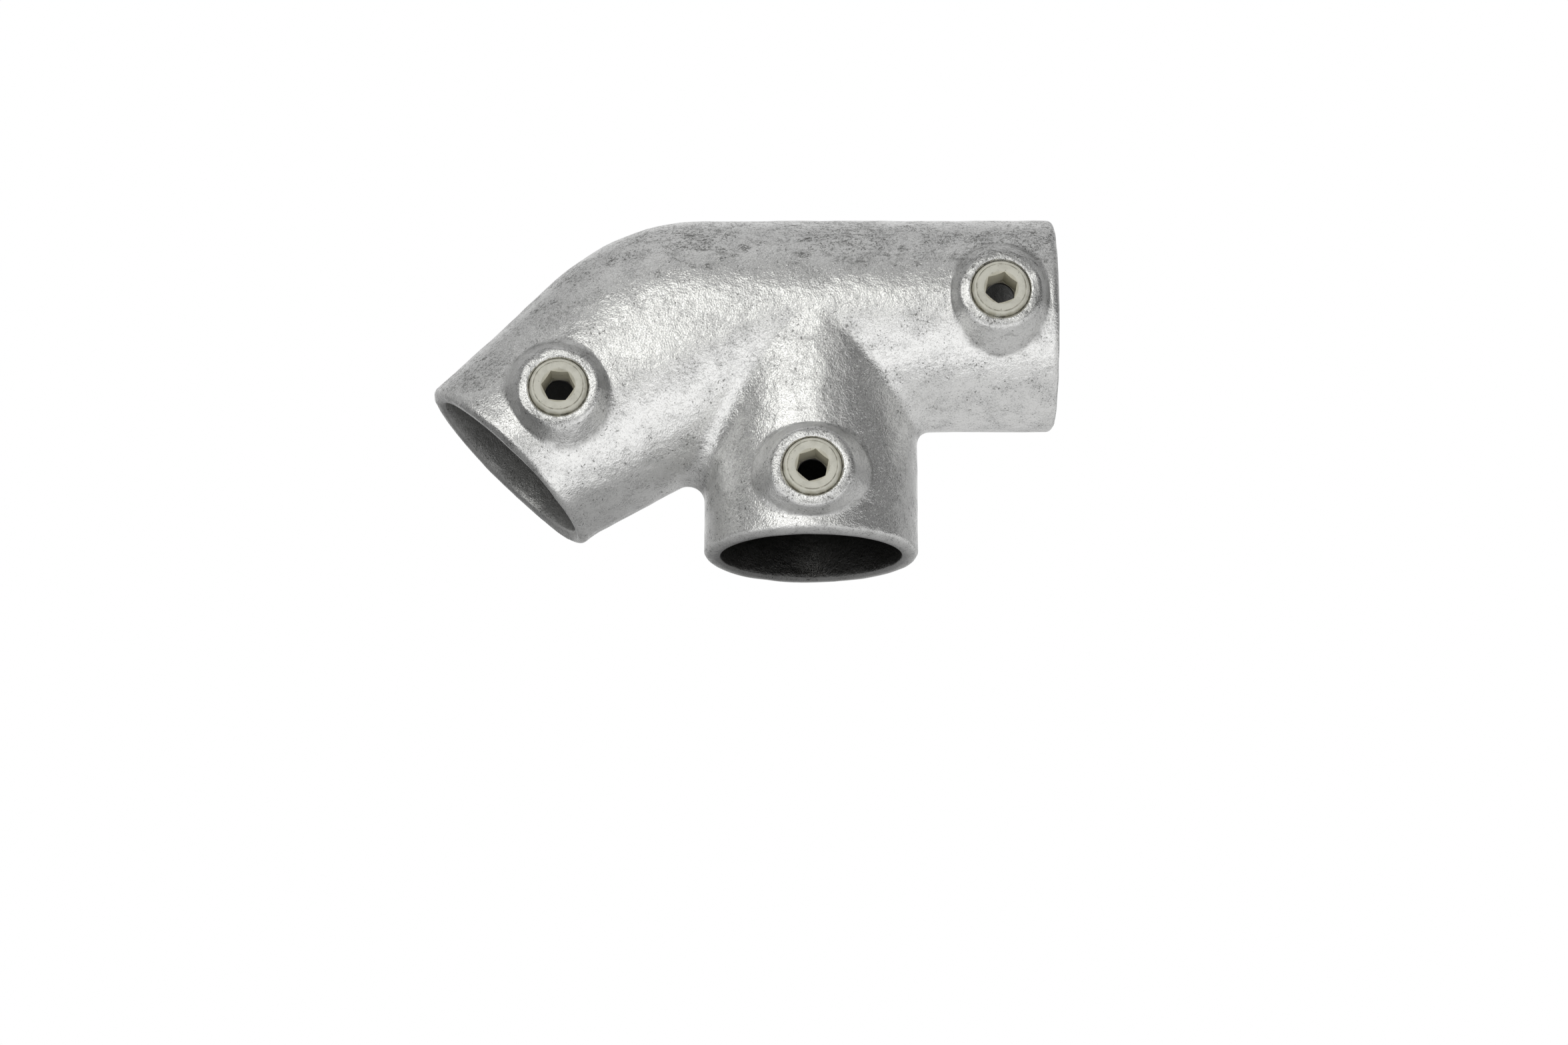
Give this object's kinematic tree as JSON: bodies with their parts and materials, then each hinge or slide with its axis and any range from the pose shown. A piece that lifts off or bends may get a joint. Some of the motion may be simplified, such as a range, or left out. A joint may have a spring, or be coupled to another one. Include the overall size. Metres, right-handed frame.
{
  "type": "tee pipe clamp",
  "caption": "Galvanised cast tee clamp that joins a level rail and a sloping tube to the top of a post, each tube held by a hollow hexagon set screw.",
  "frame": {"origin": "centre of the post socket's mouth, on the plane of its lip", "axes": "-Z out of the post socket, +X out of the level rail socket, -Y the way the set screws back out"},
  "size_m": [0.1727, 0.0647, 0.0968],
  "materials": {
    "casting": "hot-dip galvanised malleable iron, mottled and lightly pitted",
    "set_screws": "matt zinc-flake coated steel"
  },
  "bodies": {
    "casting": {"clamp_body": "casting"},
    "rail_screw": {"rail_set_screw": "set_screws"},
    "post_screw": {"post_set_screw": "set_screws"},
    "slope_screw": {"slope_set_screw": "set_screws"}
  },
  "joints": [
    {"name": "rail_screw_travel", "type": "slide", "parent": "casting", "child": "rail_screw", "axis": [0, -1, 0], "range_m": [-0.00535, 0.00669]},
    {"name": "post_screw_travel", "type": "slide", "parent": "casting", "child": "post_screw", "axis": [0, -1, 0], "range_m": [-0.00535, 0.00669]},
    {"name": "slope_screw_travel", "type": "slide", "parent": "casting", "child": "slope_screw", "axis": [0, -1, 0], "range_m": [-0.00535, 0.00669]}
  ]
}
